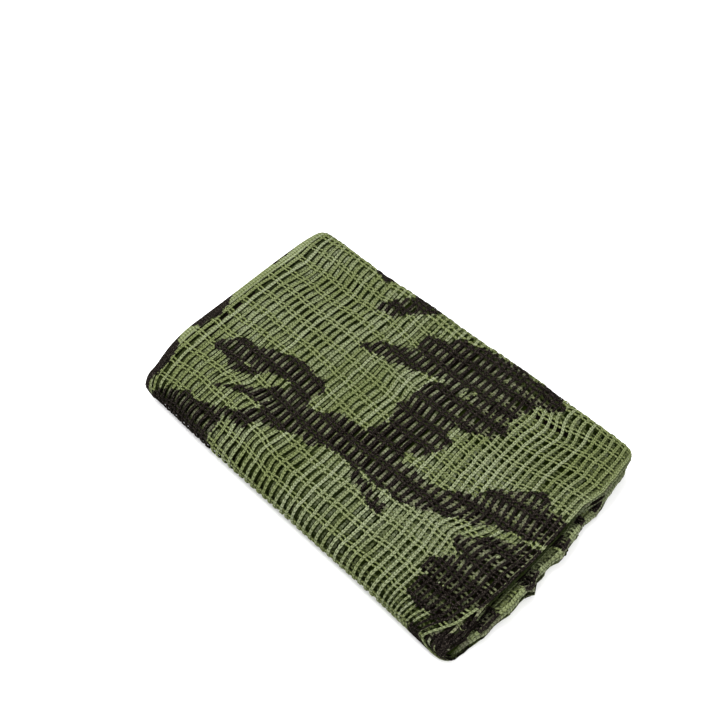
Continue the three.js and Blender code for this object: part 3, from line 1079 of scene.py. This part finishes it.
# %% [markdown]
# ## The yarn
#
# The yarn is soft two-strand cotton, dyed and then printed. Cotton is matt and hairy: it has hardly any
# gloss, and its loose fibres break up every edge. Its strands wind round each other about every 1.6 mm, and
# here every 2.4 mm, because a closer twist is too fine to show. The pattern of the twist comes from strand,
# so that it follows each yarn through all the folds, and the rest is noise on the object's own coordinates.


# %% colours, nodes, and what the mesh keeps
def srgb(text):
    """A colour given as sRGB hex, turned linear."""
    parts = [int(text[i : i + 2], 16) / 255 for i in (1, 3, 5)]
    linear = [p / 12.92 if p <= 0.04045 else ((p + 0.055) / 1.055) ** 2.4 for p in parts]
    return (*linear, 1.0)


def add(tree, kind, inputs=(), output=0, **settings):
    """A node with its settings and its inputs, by name, by number or in order. Gives one of its outputs."""
    node = tree.nodes.new("ShaderNode" + kind)
    for key, value in settings.items():
        setattr(node, key, value)
    given = inputs if isinstance(inputs, dict) else dict(enumerate(inputs))
    for key, value in given.items():
        if isinstance(value, bpy.types.NodeSocket):
            tree.links.new(value, node.inputs[key])
        else:
            node.inputs[key].default_value = value
    return node.outputs[output]


yarn = bpy.data.materials.new("cotton_yarn_printed_net")
yarn.use_nodes = True
tree = yarn.node_tree
shader = tree.nodes["Principled BSDF"]
place = add(tree, "TexCoord", output="Object")
strand = add(tree, "Attribute", output="Vector", attribute_name="strand")
shade = add(tree, "Attribute", output="Fac", attribute_name="shade")
depth = add(tree, "Attribute", output="Fac", attribute_name="print_depth")
light = add(tree, "Attribute", output="Fac", attribute_name="open_to_light")
along, aside, outward = add(tree, "SeparateXYZ", [strand]).node.outputs

# A Map Range node eases from 0 to 1 between two values, or between the two that follow them. A Mix node has
# its colours on inputs 6 and 7 and its mixed colour on output 2.
SMOOTH = {"interpolation_type": "SMOOTHSTEP"}
COLOURS = {"output": 2, "data_type": "RGBA"}
# The size of each noise in millimetres, and its detail.
NOISES = {
    "fluff": (0.6, 3.0),
    "dye": (45.0, 1.0),
    "ragged": (2.5, 2.0),
    "through": (4.5, 1.0),
}
noise = {
    name: add(tree, "TexNoise", {"Vector": place, "Scale": 1 / (size * MM), "Detail": detail})
    for name, (size, detail) in NOISES.items()
}

# %% the twist of the two strands
TWIST_PITCH = 2.4
# Each yarn's twist starts at an angle of its own, which its shade decides.
STARTS_SPREAD = 3 * math.tau

angle = add(tree, "Math", [outward, aside], operation="ARCTAN2")
turns = add(tree, "Math", [along, math.tau / TWIST_PITCH], operation="MULTIPLY")
start = add(tree, "Math", [shade, STARTS_SPREAD], operation="MULTIPLY")
wound = add(tree, "Math", [turns, angle], operation="ADD")
wound = add(tree, "Math", [wound, start], operation="ADD")
wave = add(tree, "Math", [wound], operation="SINE")
twist = add(tree, "MapRange", [wave, -1.0, 0.6], **SMOOTH)
print("turns of the twist in a cell of the net:", round(ROW_PITCH / TWIST_PITCH, 1))

# %% [markdown]
# ## Its colours
#
# The dye is a sage green that each yarn has taken a little differently, paler in some parts of the cloth,
# with painted shade, a deep saturated green, between the fibres. The ink is nearly black, worn grey-brown
# on the highest fibres, a grey-brown that is partly a painted highlight. It sits on the outer side of the
# yarns and hardly reaches the back, which is why pale yarns of the next ply show through the black. Where
# little light comes, painted shade takes the yarn to a very dark green, or to black under the ink.

# %% dye and ink
# The deepest green is painted shade between the fibres.
GREEN, GREEN_PALE, GREEN_FIBRE_SHADE = "#757d53", "#959c7d", "#3d490c"
# The ink's grey-brown is wear, and also a painted highlight on the highest fibres.
INK, INK_WORN_AND_SHEEN, INK_THROUGH = "#070505", "#443e38", "#6a665a"
PALE_BY_YARN, PALE_BY_PLACE = 0.35, 0.6

by_yarn = add(tree, "Math", [shade, PALE_BY_YARN], operation="MULTIPLY")
by_place = add(tree, "Math", [noise["dye"], PALE_BY_PLACE], operation="MULTIPLY")
tone = add(tree, "Math", [by_yarn, by_place], operation="ADD")
pale = add(tree, "MapRange", [tone, 0.2, 0.8], **SMOOTH)
green = add(tree, "Mix", {0: pale, 6: srgb(GREEN), 7: srgb(GREEN_PALE)}, **COLOURS)
# Painted shade: where the fluff sinks between the fibres, the green goes deep and saturated.
between = add(tree, "MapRange", [noise["fluff"], 0.55, 0.25], **SMOOTH)
green = add(tree, "Mix", {0: between, 6: green, 7: srgb(GREEN_FIBRE_SHADE)}, **COLOURS)
# Wear and a painted highlight: where the fluff stands highest, the ink goes grey-brown.
worn_and_sheen = add(tree, "MapRange", [noise["fluff"], 0.46, 0.66], **SMOOTH)
ink = add(tree, "Mix", {0: worn_and_sheen, 6: srgb(INK), 7: srgb(INK_WORN_AND_SHEEN)}, **COLOURS)
print("the sage green, linear:", [round(part, 3) for part in srgb(GREEN)[:3]])

# %% where the ink is
# How far the ink's edge wanders from fibre to fibre, and the depth past which the cloth is soaked with ink.
INK_WANDERS, SOAKED_PAST = 4.0, (22.0, 26.0)

ragged = add(tree, "Math", [noise["ragged"], 0.5], operation="SUBTRACT")
ragged = add(tree, "Math", [ragged, INK_WANDERS], operation="MULTIPLY")
reached = add(tree, "Math", [depth, ragged], operation="ADD")
inside = add(tree, "MapRange", [reached, -0.4, 0.5], **SMOOTH)
outer_side = add(tree, "MapRange", [outward, -0.6, -0.1], **SMOOTH)
soaked = add(tree, "MapRange", [depth, *SOAKED_PAST], **SMOOTH)
inked = add(tree, "Math", [outer_side, soaked], operation="MAXIMUM")
through = add(tree, "MapRange", [noise["through"], 0.35, 0.62, 0.2, 0.65], **SMOOTH)
inner_side = add(tree, "Mix", {0: through, 6: green, 7: srgb(INK_THROUGH)}, **COLOURS)
printed = add(tree, "Mix", {0: inked, 6: inner_side, 7: ink}, **COLOURS)
colour = add(tree, "Mix", {0: inside, 6: green, 7: printed}, **COLOURS)
print("the ink's edge wanders from fibre to fibre over, mm:", INK_WANDERS)

# %% the painted shade between strands and between plies
# Painted shade: where little light comes the yarn takes these unlit colours, and the grooves of the twist go
# part of the way to them.
UNLIT, UNLIT_INK = "#121a00", "#080503"
GROOVE_SHADE = 0.6

all_ink = add(tree, "Math", [inside, inked], operation="MULTIPLY")
unlit = add(tree, "Mix", {0: all_ink, 6: srgb(UNLIT), 7: srgb(UNLIT_INK)}, **COLOURS)
groove = add(tree, "MapRange", [twist, 0.6, 0.0, 0.0, GROOVE_SHADE], **SMOOTH)
grooved = add(tree, "Mix", {0: groove, 6: colour, 7: unlit}, **COLOURS)
lit = add(tree, "Mix", {0: light, 6: unlit, 7: grooved}, **COLOURS)
tree.links.new(lit, shader.inputs["Base Color"])
print("the grooves of the twist are darker by:", GROOVE_SHADE)

# %% the matt, hairy surface
# Cotton's IOR is close to the default of 1.5, but its loose fibres leave hardly any gloss.
RELIEF, TWIST_HEIGHT, FLUFF_HEIGHT = 0.22, 0.7, 0.5

shader.inputs["Roughness"].default_value = 0.95
shader.inputs["Specular IOR Level"].default_value = 0.02
of_twist = add(tree, "Math", [twist, TWIST_HEIGHT], operation="MULTIPLY")
of_fluff = add(tree, "Math", [noise["fluff"], FLUFF_HEIGHT], operation="MULTIPLY")
height = add(tree, "Math", [of_twist, of_fluff], operation="ADD")
relief = add(tree, "Bump", {"Height": height, "Strength": 1.0, "Distance": RELIEF * MM})
tree.links.new(relief, shader.inputs["Normal"])
print("nodes in the yarn's material:", len(tree.nodes))

# %% [markdown]
# ## The pieces of the net
#
# It is one cloth, made in pieces only so that each stays a reasonable size: the face, the roll, the plies
# just under them, the three plies below those, and the rest pass by pass. Each piece has its own share of
# the flat cloth.

# %% the pieces
SPANS = {
    "face": (0.0, SECTION_STARTS["outer_roll"]),
    "roll": (SECTION_STARTS["outer_roll"], SECTION_STARTS["base"]),
    "face_and_roll": (0.0, SECTION_STARTS["base"]),
    "base": (SECTION_STARTS["base"], SECTION_STARTS["inner_base"]),
    "inner_base": (SECTION_STARTS["inner_base"], SECTION_STARTS["inner_face"]),
    "inner_face": (SECTION_STARTS["inner_face"], SECTION_STARTS["core"]),
    "core": (SECTION_STARTS["core"], CLOTH_WIDTH),
}
PIECES = [
    {"name": "net_face", "span": "face", "plies": {5: "fine"}},
    {"name": "net_roll", "span": "roll", "plies": {5: "fine"}},
    {"name": "net_under_face", "span": "face_and_roll", "plies": {4: "plain", 3: "plain"}},
    {"name": "net_inside_face", "span": "face_and_roll", "plies": {2: "hidden", 1: "hidden", 0: "hidden"}},
    {"name": "net_base", "span": "base", "plies": {5: "plain"} | dict.fromkeys(range(5), "hidden")},
    {"name": "net_inner_base", "span": "inner_base", "plies": dict.fromkeys(range(6), "hidden")},
    {"name": "net_inner_face", "span": "inner_face", "plies": dict.fromkeys(range(6), "hidden")},
    {"name": "net_core", "span": "core", "plies": dict.fromkeys(range(6), "hidden")},
]
# The place along the fold from which hidden plies are yarns, not tapes.
END_FROM = 137.0


def ply_blocks(ply, span, detail):
    """A hidden ply is plain tape, except at the loose end, where its yarns come out into the open."""
    if detail != "hidden":
        return block(ply, *span, detail)
    return block(ply, *span, "flat", x_to=END_FROM) + block(ply, *span, "plain", x_from=END_FROM)


all_triangles = 0
for row in PIECES:
    span = SPANS[row["span"]]
    blocks = [ply_blocks(ply, span, detail) for ply, detail in row["plies"].items()]
    piece = net_piece(row["name"], blocks, yarn)
    triangles = sum(len(face.vertices) - 2 for face in piece.data.polygons)
    print(row["name"], "triangles:", triangles)
    all_triangles += triangles
print("triangles in all:", all_triangles)

# %% [markdown]
# ## The studio
#
# The scarf lies on matt white paper under two large soft lamps, the stronger one on the side of the closed
# end, and a bright white room fills the shadows. Soft light from above shows the yarns and leaves only a
# faint shadow. The camera looks down from above the corner between the roll and the loose end.

# %% the floor and the room
FLOOR_SIZE, ROOM_LIGHT = 8, 1.12
bpy.ops.mesh.primitive_plane_add(size=FLOOR_SIZE)
floor = bpy.context.object
floor.name = "floor"
paper = bpy.data.materials.new("white_paper")
paper.use_nodes = True
paper.node_tree.nodes["Principled BSDF"].inputs["Base Color"].default_value = srgb("#fafafa")
paper.node_tree.nodes["Principled BSDF"].inputs["Roughness"].default_value = 0.9
floor.data.materials.append(paper)

world = bpy.data.worlds.new("studio")
bpy.context.scene.world = world
world.use_nodes = True
world.node_tree.nodes["Background"].inputs["Color"].default_value = (1, 1, 1, 1)
world.node_tree.nodes["Background"].inputs["Strength"].default_value = ROOM_LIGHT
print("floor, m:", FLOOR_SIZE, "light of the room:", ROOM_LIGHT)

# %% the lamps
SOFTBOXES = [
    {"name": "key", "place": (-0.65, 0.1, 1.35), "size": 1.0, "watts": 28},
    {"name": "fill", "place": (0.7, -0.4, 1.2), "size": 0.9, "watts": 7},
]
for row in SOFTBOXES:
    softbox = bpy.data.lights.new(row["name"], "AREA")
    softbox.shape = "SQUARE"
    softbox.size, softbox.energy = row["size"], row["watts"]
    lamp = bpy.data.objects.new(row["name"], softbox)
    lamp.location = row["place"]
    lamp.rotation_euler = (-Vector(row["place"])).to_track_quat("-Z", "Y").to_euler()
    bpy.context.scene.collection.objects.link(lamp)
print("lamps:", [row["name"] for row in SOFTBOXES])

# %% the camera
TARGET = Vector((-0.0489, 0.0338, 0.0))
TURN, TILT, DISTANCE = math.radians(43.59), math.radians(35.48), 0.727
camera = bpy.data.objects.new("camera", bpy.data.cameras.new("camera"))
camera.data.sensor_width, camera.data.lens = 36.0, 50.0
camera.data.clip_start, camera.data.clip_end = 0.01, 20.0
camera.rotation_euler = (TILT, 0.0, TURN)
camera.location = TARGET + camera.rotation_euler.to_matrix() @ Vector((0, 0, DISTANCE))
bpy.context.scene.collection.objects.link(camera)
bpy.context.scene.camera = camera
bpy.context.scene.view_settings.view_transform = "Standard"
bpy.context.scene.view_settings.look = "None"
print("camera at, m:", [round(place, 3) for place in camera.location])
